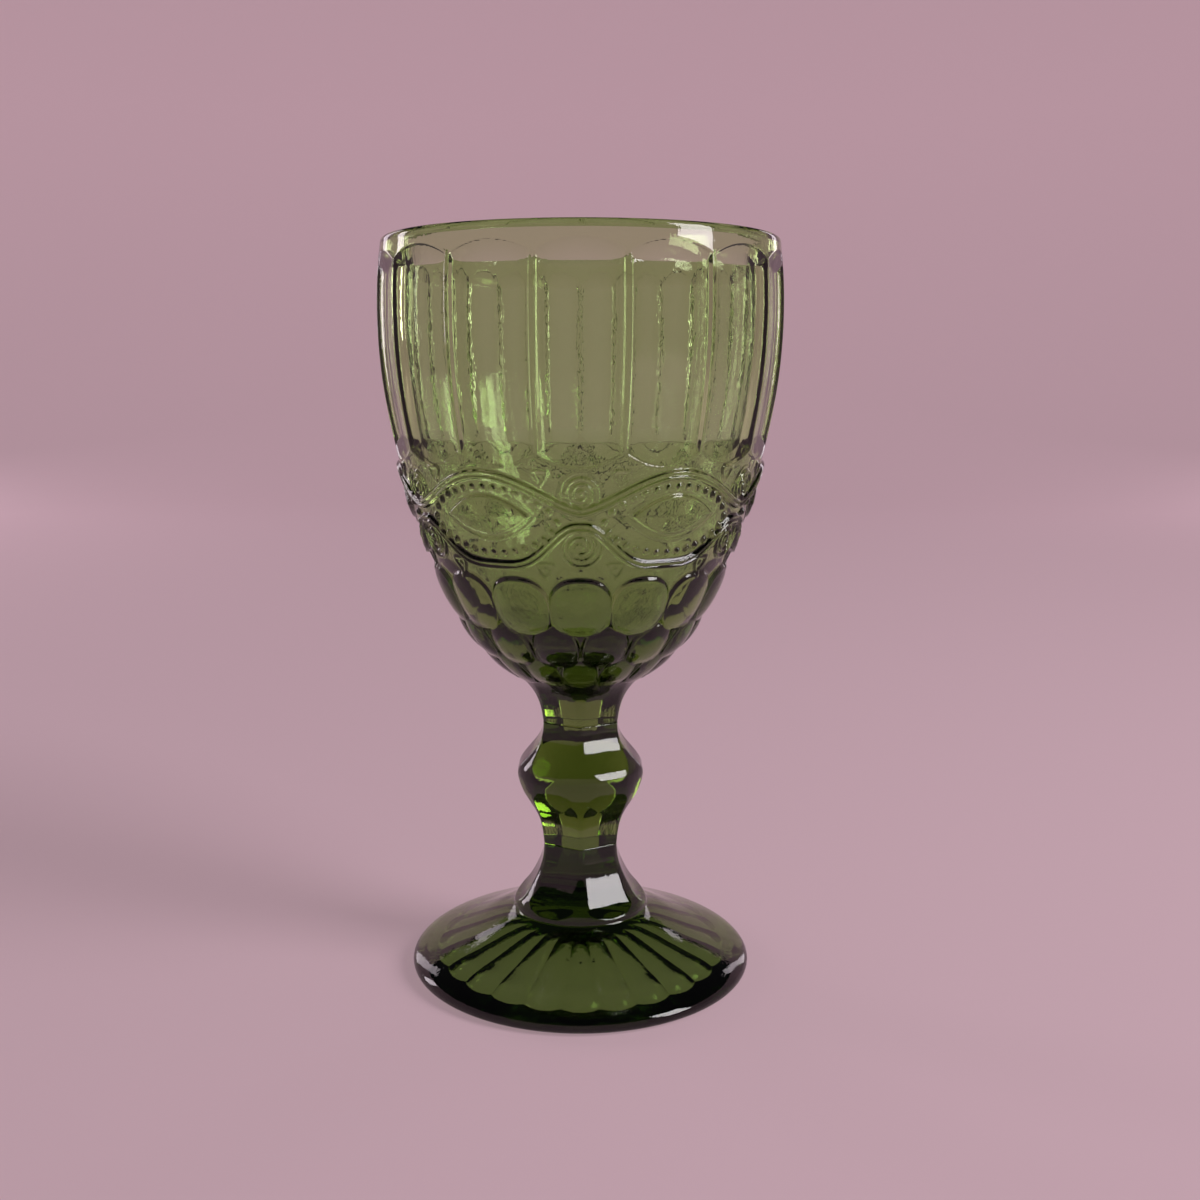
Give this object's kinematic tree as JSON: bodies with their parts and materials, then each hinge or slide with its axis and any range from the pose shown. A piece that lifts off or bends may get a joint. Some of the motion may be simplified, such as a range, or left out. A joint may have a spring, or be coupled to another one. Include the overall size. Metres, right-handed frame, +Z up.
{
  "type": "wine glass",
  "caption": "Stemmed goblet of pressed olive-green glass: fluted bowl with an embossed relief band and round lobes, faceted knopped stem and round rayed foot.",
  "frame": {"origin": "centre of the plane that the foot stands on, on the goblet's axis", "axes": "+Z up along the goblet's axis, from foot to rim; -Y is the front, where a corner of the stem points"},
  "size_m": [0.089, 0.0886, 0.167],
  "materials": {
    "green_glass": "glossy transparent olive-green pressed glass, slightly wavy, darker where it is thick"
  },
  "bodies": {
    "root": {"bowl": "green_glass", "stem": "green_glass", "foot": "green_glass"}
  },
  "joints": []
}
